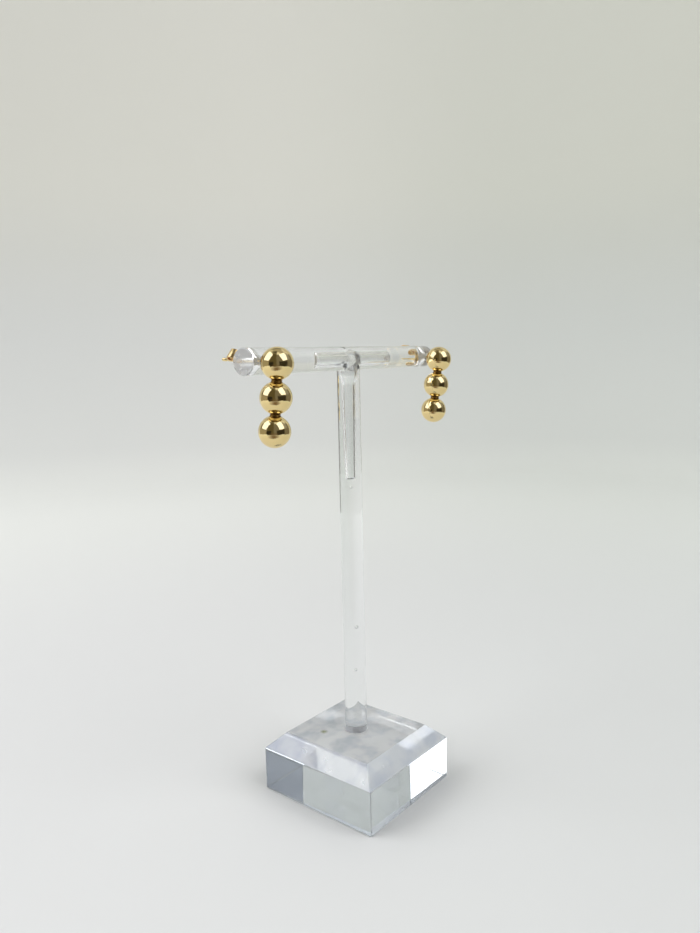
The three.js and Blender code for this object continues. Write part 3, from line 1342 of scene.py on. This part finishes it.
@dataclass
class Earring:
    """One earring as it has settled in its hole, with its butterfly back.

    Attributes:
        finishes: The object's finishes.
        bar: Where the crossbar lies.
        name: left or right.
        side: -1 for the hole towards -X, 1 for the other.
        pin_tilt: How far the pin's tip is lifted, in degrees.
        lean: How far the column's foot is carried back under the bar, in degrees.
        swing: How far the column's foot is carried towards +X, in degrees.
        back_turn: How far the top of the butterfly back is turned towards +X, in degrees.
        clearance: Between the bar and what touches it, and between the pin and its back.
        ball_radius: Of each ball.
        ball_pitch: From one ball's middle to the next.
        ball_count: How many balls there are.
        ball_steps: How many steps a ball's outline has.
        round_steps: How many steps go round a ball.
        neck_radius: Of a solder neck at its waist.
        flare_radius: Of a neck where it meets a ball.
        neck_steps: How many steps a neck's outline has.
        pin_radius: Of the ear pin.
        pin_reach: From the bar's axis to the pin's tip.
        pin_bury: How deep the pin's foot stands in the ball.
        tip_edge: The rounding of the pin's tip.
        pin_steps: How many steps go round the pin.
        collar_radius: Of the solder collar at the pin's foot.
        collar_length: How far the collar reaches up the pin.
        collar_bury: How deep the collar starts in the ball.
        collar_steps: How many steps its outline has.
        notch_radius: Of the pin in its notch.
        notch_length: The notch's length, shoulders included.
        notch_from_tip: From the notch to the pin's tip.
    """

    finishes: Finishes
    bar: Crossbar
    name: str
    side: int
    pin_tilt: float
    lean: float
    swing: float
    back_turn: float
    clearance: float = 0.3
    ball_radius: float = 4.0
    ball_pitch: float = 8.2
    ball_count: int = 3
    ball_steps: int = 72
    round_steps: int = 128
    neck_radius: float = 1.3
    flare_radius: float = 1.48
    neck_steps: int = 10
    pin_radius: float = 0.425
    pin_reach: float = 10.1
    pin_bury: float = 0.12
    tip_edge: float = 0.3
    pin_steps: int = 48
    collar_radius: float = 0.95
    collar_length: float = 0.35
    collar_bury: float = 0.1
    collar_steps: int = 8
    notch_radius: float = 0.3
    notch_length: float = 0.7
    notch_from_tip: float = 1.5

    @property
    def ball_reach(self) -> float:
        """The top ball's middle from the bar's axis."""
        return self.bar.radius + self.ball_radius + self.clearance

    def hung(self) -> Matrix:
        """The frame of the ear pin before it turns in the hole."""
        hole = shift(self.side * self.bar.hole_reach)
        return self.bar.place() @ hole @ turn(self.pin_tilt, Axis.X)

    def drop(self) -> Matrix:
        """The frame of the earring, with its pin along Y."""
        return self.hung() @ turn(-self.swing, Axis.Y)

    def column_profile(self) -> list[tuple[float, float]]:
        """Draws the outline of the balls and their solder necks.

        Returns:
            Its (radius, height) stations, from the bottom ball's pole to the top ball's.
        """
        reach = math.sqrt(self.ball_radius**2 - self.flare_radius**2)
        half_gap = self.ball_pitch / 2 - reach
        cut = math.degrees(math.acos(self.flare_radius / self.ball_radius))
        profile: list[tuple[float, float]] = []
        for i in range(self.ball_count):
            height = -(self.ball_count - 1 - i) * self.ball_pitch
            start = -90.0 if i == 0 else -cut
            end = 90.0 if i == self.ball_count - 1 else cut
            profile += arc((0.0, height), self.ball_radius, start, end, self.ball_steps)
            if i == self.ball_count - 1:
                break
            middle = height + self.ball_pitch / 2
            for k in range(1, self.neck_steps):
                z = half_gap * (2 * k / self.neck_steps - 1)
                radius = self.neck_radius + (self.flare_radius - self.neck_radius) * (z / half_gap) ** 2
                profile.append((radius, middle + z))
        for pole in (0, -1):
            profile[pole] = (0.0, profile[pole][1])
        return profile

    def build_column(self) -> bpy.types.Object:
        """Builds the three balls and their necks.

        Returns:
            The column.
        """
        splay = self.lean - self.pin_tilt
        place = self.drop() @ shift(y=-self.ball_reach) @ turn(splay, Axis.X)
        obj = make_object(f"{self.name}_ball_column", revolve(self.column_profile(), self.round_steps), place)
        back = place.inverted()
        lowest_neck = -(self.ball_count - 1.5) * self.ball_pitch - 1

        def on_neck(face: bpy.types.MeshPolygon) -> bool:
            """Tells whether a face is on a neck, and not round the column's ends."""
            x, y, z = back @ (face.center / MM)
            return math.hypot(x, y) < self.flare_radius and lowest_neck < z < self.ball_radius / 2

        # The necks get the solder finish, whose dark brown is painted shade between the balls.
        dress(obj, [self.finishes.gold, self.finishes.solder], on_neck)
        stand_for(obj, f"{self.name}_ball_drop")
        return obj

    def build_pin(self) -> bpy.types.Object:
        """Builds the ear pin with its solder collar, its notch and its rounded tip.

        Returns:
            The pin.
        """
        root = self.ball_radius - self.ball_reach
        notch_end = self.pin_reach - self.notch_from_tip
        notch_start = notch_end - self.notch_length
        shoulder = self.notch_length / 4
        shares = [k / self.collar_steps for k in range(self.collar_steps + 1)]
        flare = [
            (
                self.pin_radius + (self.collar_radius - self.pin_radius) * (1 - share) ** 2,
                root - self.collar_bury + self.collar_length * share,
            )
            for share in shares
        ]
        profile = [
            (0.0, root - self.pin_bury),
            *flare,
            (self.pin_radius, notch_start),
            (self.notch_radius, notch_start + shoulder),
            (self.notch_radius, notch_end - shoulder),
            (self.pin_radius, notch_end),
            *arc((self.pin_radius - self.tip_edge, self.pin_reach - self.tip_edge), self.tip_edge, 0, 90, 6),
            (0.0, self.pin_reach),
        ]
        place = self.drop() @ turn(-90, Axis.X)
        obj = make_object(f"{self.name}_ear_pin", revolve(profile, self.pin_steps), place)
        dress(obj, [self.finishes.gold])
        stand_for(obj, f"{self.name}_ball_drop")
        return obj

    def build(self) -> list[bpy.types.Object]:
        """Builds the earring and its back.

        Returns:
            The column, the pin and the back.
        """
        seat = self.hung() @ shift(y=self.bar.radius + self.clearance) @ turn(self.back_turn, Axis.Y)
        back = ButterflyBack(self.finishes, self.name, self.pin_radius + self.clearance)
        return [self.build_column(), self.build_pin(), back.build(seat)]


@dataclass
class ButterflyBack:
    """The friction back: a stamped strip with a curl at each end, pierced for the pin.

    Attributes:
        finishes: The object's finishes.
        name: left or right.
        hole_radius: Of its hole for the pin.
        span: Over both curls.
        depth: Along the pin.
        sheet: The strip's thickness.
        plate_width: The strip's width at the pin.
        curl_width: Its width at the curls.
        curl_radius: Of a curl's outside, along the span.
        curl_turns: How far a curl goes round.
        curl_closing: The share of its size that a curl loses in one turn.
        edge: The rounding of the strip's edges.
        edge_steps: How many steps each rounding has.
        overrun: How far the punch for the hole goes past the plate, in front of it and behind it.
        plate_steps: How many steps its line has from the pin to a curl.
        curl_steps: How many steps a curl has.
        crease: Above how many degrees an edge is sharp.
    """

    finishes: Finishes
    name: str
    hole_radius: float
    span: float = 6.4
    depth: float = 3.1
    sheet: float = 0.36
    plate_width: float = 4.4
    curl_width: float = 2.6
    curl_radius: float = 1.22
    curl_turns: float = 1.2
    curl_closing: float = 0.52
    edge: float = 0.11
    edge_steps: int = 3
    overrun: tuple[float, float] = (1.0, 0.6)
    plate_steps: int = 24
    curl_steps: int = 56
    crease: float = 50.0

    def half_line(self) -> list[Vector]:
        """Draws the line that half of the strip is bent along.

        Returns:
            The line's points as (span, depth), from the pin to the end of a curl.
        """
        half = self.sheet / 2
        across = self.curl_radius - half
        deep = (self.depth - self.sheet) / 2
        middle = self.span / 2 - self.curl_radius
        line = [Vector((middle * i / self.plate_steps, half)) for i in range(self.plate_steps)]
        for i in range(self.curl_steps + 1):
            done = self.curl_turns * i / self.curl_steps
            size = 1 - self.curl_closing * done
            angle = 2 * math.pi * done - math.pi / 2
            x, y = size * math.cos(angle), size * math.sin(angle)
            line.append(Vector((middle + across * x, half + deep + deep * y)))
        return line

    def half_width(self, run: float) -> float:
        """Works out half the strip's width.

        Args:
            run: A distance along it from the pin.

        Returns:
            Half its width there.
        """
        waist = self.span / 2 - self.curl_radius
        share = min(abs(run) / waist, 1.0)
        swell = 0.5 + 0.5 * math.cos(math.pi * share)
        return (self.curl_width + (self.plate_width - self.curl_width) * swell) / 2

    def section(self, half_width: float) -> list[tuple[float, float]]:
        """Draws the strip's rounded section.

        Args:
            half_width: Half the strip's width.

        Returns:
            Its (across, through) points.
        """
        x, y = half_width - self.edge, self.sheet / 2 - self.edge
        points: list[tuple[float, float]] = []
        for cx, cy, start in ((x, y, 0), (-x, y, 90), (-x, -y, 180), (x, -y, 270)):
            points += arc((cx, cy), self.edge, start, start + 90, self.edge_steps)
        return points

    def strip(self) -> bmesh.types.BMesh:
        """Makes the whole strip.

        Returns:
            The mesh, with its span along Z and its depth along Y.
        """
        half = self.half_line()
        line = [Vector((-p.x, p.y)) for p in half[:0:-1]] + half
        runs = [0.0]
        for before, after in zip(line, line[1:]):
            runs.append(runs[-1] + (after - before).length)
        middle_run = runs[len(half) - 1]
        bm = bmesh.new()
        rings: list[list[bmesh.types.BMVert]] = []
        last = len(line) - 1
        for i, point in enumerate(line):
            tangent = (line[min(i + 1, last)] - line[max(i - 1, 0)]).normalized()
            outwards = Vector((-tangent.y, tangent.x))
            section = self.section(self.half_width(runs[i] - middle_run))
            ring = [(across, point + outwards * through) for across, through in section]
            rings.append([bm.verts.new((across, at.y, at.x)) for across, at in ring])
        bridge(bm, rings)
        bm.faces.new(rings[0])
        bm.faces.new(rings[-1])
        bmesh.ops.recalc_face_normals(bm, faces=bm.faces)
        return bm

    def build(self, seat: Matrix) -> bpy.types.Object:
        """Builds the back.

        Args:
            seat: The frame of its plate's front face, with the pin along Y.

        Returns:
            The finished back.
        """
        obj = make_object(f"{self.name}_butterfly_back", self.strip(), seat)
        start, end = Vector((0, -self.overrun[0], 0)), Vector((0, self.sheet + self.overrun[1], 0))
        punch = Rod(start, end, self.hole_radius, segments=64)
        carve(obj, [make_object("bore_tool", punch.mesh(), seat)], "DIFFERENCE")
        obj.data.set_sharp_from_angle(angle=math.radians(self.crease))
        dress(obj, [self.finishes.stamped])
        stand_for(obj, f"{self.name}_clutch")
        return obj


# ------------------------------------------------------------------------------ studio


@dataclass(frozen=True)
class Region:
    """A part of the surroundings, seen from the stand.

    Attributes:
        azimuths: From where to where it reaches round the horizon, in degrees from +X towards +Y.
        elevations: From where to where it reaches above the horizon, in degrees.
    """

    azimuths: tuple[float, float]
    elevations: tuple[float, float]

    @property
    def azimuth(self) -> float:
        """The azimuth of its middle."""
        return sum(self.azimuths) / 2

    @property
    def elevation(self) -> float:
        """The elevation of its middle."""
        return sum(self.elevations) / 2

    @property
    def half_width(self) -> float:
        """Half the azimuths that it spans."""
        return (self.azimuths[1] - self.azimuths[0]) / 2

    @property
    def half_height(self) -> float:
        """Half the elevations that it spans."""
        return (self.elevations[1] - self.elevations[0]) / 2

    def size(self, distance: float) -> tuple[float, float]:
        """Works out how large an upright panel has to be to fill it.

        Args:
            distance: The panel's distance from the stand.

        Returns:
            The panel's width and height.
        """
        across, up = (2 * distance * math.tan(math.radians(a)) for a in (self.half_width, self.half_height))
        return across * math.cos(math.radians(self.elevation)), up

    def place(self, centre: Vector, distance: float, roll: float) -> Matrix:
        """Works out where such a panel stands.

        Args:
            centre: The middle of the stand, in metres.
            distance: The panel's distance from there.
            roll: The panel's turn about the line of sight, in degrees.

        Returns:
            The panel's frame, facing the stand with its +Z side away from it.
        """
        away = towards(self.azimuth, self.elevation)
        aim = away.to_track_quat("Z", "Y").to_matrix().to_4x4()
        return Matrix.Translation(centre + away * distance) @ aim @ turn(roll, Axis.Z)


def stage_mesh(name: str, bm: bmesh.types.BMesh, material: bpy.types.Material) -> bpy.types.Object:
    """Turns a mesh in metres into a part of the stage.

    Args:
        name: The object's name.
        bm: The mesh, which is used up.
        material: Its material.

    Returns:
        The object.
    """
    obj = make_object(name, bm, Matrix.Scale(1 / MM, 4))
    obj.data.materials.append(material)
    obj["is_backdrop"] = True
    return obj


@dataclass(frozen=True)
class Panel:
    """A glowing or dark card that only gold and clear plastic mirror; it neither lights nor shades.

    Attributes:
        name: The card's name.
        region: Where it stands, seen from the stand.
        radiance: Its brightness, as a white that it would fill with 1.
        distance: From the stand, in metres.
        tone: Its colour.
        roll: Its turn about the line of sight, in degrees.
        softness: The share of its size over which its edges fade.
    """

    name: str
    region: Region
    radiance: float
    distance: float
    tone: str = "#FFFFFF"
    roll: float = 0.0
    softness: float = 0.08

    def glow(self) -> bpy.types.Material:
        """Makes a glowing finish that fades out towards the card's edges.

        Returns:
            The material.
        """
        material, tree = new_material(f"{self.name}_glow")
        parts = add_node(tree, "SeparateXYZ", links={"Vector": add_node(tree, "TexCoord").outputs["UV"]})
        span = {"interpolation_type": "SMOOTHSTEP", "From Min": 1.0, "From Max": 1 - 2 * self.softness}
        fades: dict[str | int, bpy.types.NodeSocket] = {}
        for i, axis in enumerate(("X", "Y")):
            off = add_node(tree, "Math", {"operation": "ABSOLUTE"}, {"Value": parts.outputs[axis]})
            fades[i] = add_node(tree, "MapRange", span, {"Value": off.outputs["Value"]}).outputs["Result"]
        share = add_node(tree, "Math", {"operation": "MULTIPLY"}, fades)
        clear = add_node(tree, "BsdfTransparent")
        glow = add_node(tree, "Emission", {"Color": linear(self.tone), "Strength": self.radiance})
        mix = add_node(
            tree,
            "MixShader",
            links={"Fac": share.outputs["Value"], 1: clear.outputs["BSDF"], 2: glow.outputs["Emission"]},
        )
        add_node(tree, "OutputMaterial", links={"Surface": mix.outputs["Shader"]})
        return material

    def build(self, centre: Vector) -> None:
        """Stands the card up.

        Args:
            centre: The point that it faces, in metres.
        """
        width, height = self.region.size(self.distance)
        bm = bmesh.new()
        face = bm.faces.new([bm.verts.new((x * width / 2, y * height / 2, 0)) for x, y in CORNERS])
        layer = bm.loops.layers.uv.new("edges")
        for loop, side in zip(face.loops, CORNERS):
            loop[layer].uv = side
        bm.transform(self.region.place(centre, self.distance, self.roll))
        card = stage_mesh(self.name, bm, self.glow())
        for flag in ("visible_camera", "visible_diffuse", "visible_transmission", "visible_shadow"):
            setattr(card, flag, False)


@dataclass(frozen=True)
class Window:
    """A soft window: a lamp that lights the paper, and a bright pane that gold and plastic mirror.

    Attributes:
        name: The window's name.
        region: Where it stands, seen from the stand.
        lamp: The brightness that it lights the scene with.
        lamp_share: The lamp's width and height against the pane's.
        pane: The brightness that it shows in a mirror.
        distance: From the stand, in metres.
        tone: The pane's colour.
        roll: Its turn about the line of sight, in degrees.
    """

    name: str
    region: Region
    lamp: float
    lamp_share: float
    pane: float = 2.2
    distance: float = 1.5
    tone: str = "#E3E9FB"
    roll: float = 0.0

    def build(self, centre: Vector) -> None:
        """Hangs the lamp and its pane so that they face the stand.

        Args:
            centre: The point that they face, in metres.
        """
        Panel(f"{self.name}_pane", self.region, self.pane, self.distance, self.tone, self.roll).build(centre)
        light = bpy.data.lights.new(self.name, "AREA")
        light.shape = "RECTANGLE"
        light.size, light.size_y = (self.lamp_share * side for side in self.region.size(self.distance))
        light.energy = self.lamp * math.pi * light.size * light.size_y
        obj = bpy.data.objects.new(self.name, light)
        obj.matrix_world = self.region.place(centre, self.distance, self.roll)
        obj.visible_camera = False
        obj.visible_glossy = False
        bpy.context.scene.collection.objects.link(obj)


@dataclass(frozen=True)
class Patch:
    """A part of the room with a tone of its own.

    Attributes:
        region: Where it lies, seen from the stand.
        tone: Its colour.
        softness: Over how many degrees its edge fades.
    """

    region: Region
    tone: str
    softness: float = 8.0


@dataclass(frozen=True)
class Room:
    """What stands round the studio, as far as gold, clear plastic and the paper take light from it.

    Attributes:
        tone: The colour of the room where no patch covers it.
        patches: Its lighter and darker parts, each over the ones before it.
        pale: The tone that the camera alone sees past the paper.
    """

    tone: str = "#7A7873"
    patches: tuple[Patch, ...] = (
        Patch(Region((-180, 180), (62, 120)), "#ACABA4", 14),
        Patch(Region((78, 114), (34, 66)), "#DCDEE2", 10),
        Patch(Region((326, 374), (34, 62)), "#E2E6EA", 10),
        Patch(Region((112, 218), (70, 120)), "#5E5A50", 12),
        Patch(Region((226, 280), (62, 82)), "#F4F6FA", 10),
        Patch(Region((168, 218), (-24, 68)), "#5E5843", 10),
        Patch(Region((98, 164), (-12, 12)), "#A39F93", 8),
        Patch(Region((164, 200), (-24, 10)), "#2C2A24", 10),
        Patch(Region((240, 298), (-24, 14)), "#37342C", 10),
        Patch(Region((304, 332), (16, 46)), "#979BA1", 10),
    )
    pale: str = "#D6D7D5"

    def covered(
        self, tree: bpy.types.NodeTree, angle: bpy.types.NodeSocket, half: float, softness: float
    ) -> bpy.types.Node:
        """A node that is 1 where an angle from a patch's middle is within its half width.

        Args:
            tree: The world's node tree.
            angle: The angle, in radians.
            half: Half the patch's width in degrees.
            softness: Over how many degrees its edge fades.

        Returns:
            The node.
        """
        size = add_node(tree, "Math", {"operation": "ABSOLUTE"}, {"Value": angle})
        outer, inner = math.radians(half + softness / 2), math.radians(half - softness / 2)
        return add_node(
            tree,
            "MapRange",
            {"interpolation_type": "SMOOTHSTEP", "From Min": outer, "From Max": inner},
            {"Value": size.outputs["Value"]},
        )

    def patched(
        self, tree: bpy.types.NodeTree, place: bpy.types.NodeSocket, below: bpy.types.NodeSocket, patch: Patch
    ) -> bpy.types.NodeSocket:
        """Lays a patch over what is there.

        Args:
            tree: The world's node tree.
            place: The direction that is looked at.
            below: The colour so far.
            patch: The patch.

        Returns:
            The colour with the patch on it.
        """
        region = patch.region
        spin = {"rotation_type": "EULER_XYZ", "Rotation": (0, 0, -math.radians(region.azimuth))}
        turned = add_node(tree, "VectorRotate", spin, {"Vector": place})
        parts = add_node(tree, "SeparateXYZ", links={"Vector": turned.outputs["Vector"]}).outputs
        azimuth = add_node(tree, "Math", {"operation": "ARCTAN2"}, {0: parts["Y"], 1: parts["X"]})
        rise = add_node(tree, "Math", {"operation": "ARCSINE"}, {"Value": parts["Z"]})
        middle = {"operation": "SUBTRACT", 1: math.radians(region.elevation)}
        lift = add_node(tree, "Math", middle, {0: rise.outputs["Value"]})
        across = self.covered(tree, azimuth.outputs["Value"], region.half_width, patch.softness)
        up = self.covered(tree, lift.outputs["Value"], region.half_height, patch.softness)
        both = {0: across.outputs["Result"], 1: up.outputs["Result"]}
        share = add_node(tree, "Math", {"operation": "MULTIPLY"}, both).outputs["Value"]
        mix = add_node(tree, "MixRGB", {"Color2": linear(patch.tone)}, {"Fac": share, "Color1": below})
        return mix.outputs["Color"]

    def build(self) -> None:
        """Makes the room, which becomes the scene's world."""
        world = bpy.data.worlds.new("room")
        world.use_nodes = True
        tree = world.node_tree
        tree.nodes.clear()
        place = add_node(tree, "TexCoord").outputs["Generated"]
        colour = add_node(tree, "RGB").outputs["Color"]
        colour.default_value = linear(self.tone)
        for patch in self.patches:
            colour = self.patched(tree, place, colour, patch)
        dim = add_node(tree, "Background", links={"Color": colour})
        bright = add_node(tree, "Background", {"Color": linear(self.pale)})
        seen = add_node(tree, "LightPath").outputs["Is Camera Ray"]
        mix = add_node(tree, "MixShader", links={"Fac": seen, 1: dim.outputs[0], 2: bright.outputs[0]})
        add_node(tree, "OutputWorld", links={"Surface": mix.outputs[0]})
        bpy.context.scene.world = world


@dataclass
class Studio:
    """The table, the paper sweep behind the stand, two windows and a dim room in front.

    Attributes:
        table_radius: Of the white table, in metres.
        near_radius: Where gold and clear plastic see it end on the camera's side.
        near_side: From where to where that side goes, in degrees.
        sweep_radius: Of the sweep's bend.
        wall_top: The height of the sweep's wall.
        backdrop: From where to where the sweep that lights the stand goes, in degrees.
        segments: How many steps go round.
        below: How far the paper lies below the stand, so that they don't fight for the same plane.
        windows: The windows that light it.
        flag: The dark card just under the camera, which the balls and the plastic mirror.
    """

    table_radius: float = 0.62
    near_radius: float = 0.405
    near_side: tuple[float, float] = (172.0, 344.0)
    sweep_radius: float = 0.28
    wall_top: float = 1.3
    backdrop: tuple[float, float] = (-12.0, 104.0)
    segments: int = 96
    below: float = 0.0002
    windows: tuple[Window, ...] = (
        Window("left_window", Region((112, 170), (16, 64)), lamp=3.2, lamp_share=0.95),
        Window("right_window", Region((253, 308), (19, 66)), lamp=3.1, lamp_share=1.0),
    )
    flag: Panel = Panel("camera_flag", Region((170, 256), (-62, 0)), 1.0, 0.2, "#7A6A5C", softness=0.5)

    def sweep_profile(self) -> list[tuple[float, float]]:
        """The paper's outline from the table's edge up."""
        bend = arc((self.table_radius, self.sweep_radius), self.sweep_radius, -90, 0, 24)
        return [*bend, (bend[-1][0], self.wall_top)]

    def azimuths(self, start: float, end: float, steps: int) -> list[float]:
        """Evenly spaced azimuths in radians, both ends included, which are given in degrees."""
        return [math.radians(start + (end - start) * i / steps) for i in range(steps + 1)]

    def fan(
        self, bm: bmesh.types.BMesh, profile: Sequence[tuple[float, float]], angles: Sequence[float]
    ) -> None:
        """Adds a sheet of paper that is drawn round the stand.

        Args:
            bm: The mesh that it is added to.
            profile: The sheet's outline as (radius, height) stations, in metres.
            angles: The azimuths that the outline stands at, in radians.
        """
        columns = [
            [bm.verts.new((r * math.cos(a), r * math.sin(a), z - self.below)) for r, z in profile]
            for a in angles
        ]
        for left, right in zip(columns, columns[1:]):
            for k in range(len(profile) - 1):
                bm.faces.new((left[k], left[k + 1], right[k + 1], right[k]))

    def sweep(self, name: str, start: float, end: float, paper: bpy.types.Material) -> bpy.types.Object:
        """One sector of the paper sweep.

        Args:
            name: The object's name.
            start: Its first azimuth in degrees.
            end: Its last azimuth.
            paper: Its material.

        Returns:
            The sector.
        """
        steps = max(8, round(self.segments * (end - start) / 360))
        bm = bmesh.new()
        self.fan(bm, self.sweep_profile(), self.azimuths(start, end, steps))
        return stage_mesh(name, bm, paper)

    def table(self, name: str, paper: bpy.types.Material, near: bool) -> bpy.types.Object:
        """The round white table top, or the part of it that mirrors leave out on the camera's side.

        Args:
            name: The object's name.
            paper: Its material.
            near: True for the part that mirrors leave out.

        Returns:
            The part of the table.
        """
        start, end = self.near_side
        if near:
            sectors = ((start, end, self.near_radius, self.table_radius),)
        else:
            sectors = ((end, start + 360, 0.0, self.table_radius), (start, end, 0.0, self.near_radius))
        bm = bmesh.new()
        for first, last, inner, outer in sectors:
            self.fan(bm, ((inner, 0.0), (outer, 0.0)), self.azimuths(first, last, self.segments))
        bmesh.ops.remove_doubles(bm, verts=bm.verts, dist=1e-6)
        return stage_mesh(name, bm, paper)

    def build(self) -> None:
        """Builds the whole studio."""
        low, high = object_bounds()
        paper = Paper().make()
        self.table("table", paper, near=False)
        self.sweep("backdrop", *self.backdrop, paper)
        for part in (
            self.table("near_table", paper, near=True),
            self.sweep("front_paper", self.backdrop[1], self.backdrop[0] + 360, paper),
        ):
            for flag in ("visible_diffuse", "visible_glossy", "visible_transmission", "visible_shadow"):
                setattr(part, flag, False)
        for window in self.windows:
            window.build((low + high) / 2)
        self.flag.build(Vector((0, 0, high.z)))
        Room().build()


@dataclass(frozen=True)
class Camera:
    """The camera, placed by where it looks from.

    Attributes:
        name: The camera's name.
        place: Its position in millimetres.
        azimuth: The way it looks, in degrees from +Y towards -X.
        drop: How far it looks down, in degrees.
        roll: How far it is turned about its view, in degrees.
        lens: Its focal length in millimetres.
        sensor: Its sensor's longer side in millimetres.
        clip: Between which distances it sees, in metres.
    """

    name: str = "camera"
    place: tuple[float, float, float] = (-170.936, -140.396, 131.045)
    azimuth: float = -50.576
    drop: float = 8.364
    roll: float = -1.31
    lens: float = 29.683
    sensor: float = 36.0
    clip: tuple[float, float] = (0.01, 20.0)

    def build(self) -> None:
        """Adds the camera and makes it the scene's own."""
        data = bpy.data.cameras.new(self.name)
        data.lens, data.sensor_width = self.lens, self.sensor
        data.clip_start, data.clip_end = self.clip
        obj = bpy.data.objects.new(self.name, data)
        aim = turn(self.azimuth, Axis.Z) @ turn(90 - self.drop, Axis.X) @ turn(self.roll, Axis.Z)
        obj.matrix_world = Matrix.Translation(Vector(self.place) * MM) @ aim
        bpy.context.scene.collection.objects.link(obj)
        bpy.context.scene.camera = obj


def set_light_paths() -> None:
    """Lets light cross every wall of the clear stand, and shows tones as they are."""
    scene = bpy.context.scene
    scene.view_settings.view_transform = "Standard"
    paths = {
        "max_bounces": 24,
        "transmission_bounces": 20,
        "glossy_bounces": 16,
        "diffuse_bounces": 4,
        "caustics_reflective": False,
        "caustics_refractive": True,
        "blur_glossy": 0.5,
        "sample_clamp_indirect": 6.0,
    }
    for name, value in paths.items():
        setattr(scene.cycles, name, value)


def main() -> None:
    """Builds the object in its studio."""
    logging.basicConfig(level=logging.INFO, format="%(name)s: %(message)s")
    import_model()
    Camera().build()
    finishes = Finishes()
    base = BaseBlock(finishes)
    bar = Crossbar()
    base.build()
    TBar(finishes, bar, seam_top=base.top).build()
    earrings = [
        Earring(finishes, bar, "left", side=-1, pin_tilt=4, lean=6, swing=0.5, back_turn=-50),
        Earring(finishes, bar, "right", side=1, pin_tilt=8, lean=6, swing=-2, back_turn=0),
    ]
    for earring in earrings:
        earring.build()
    Studio().build()
    set_light_paths()


if __name__ == "__main__":
    main()
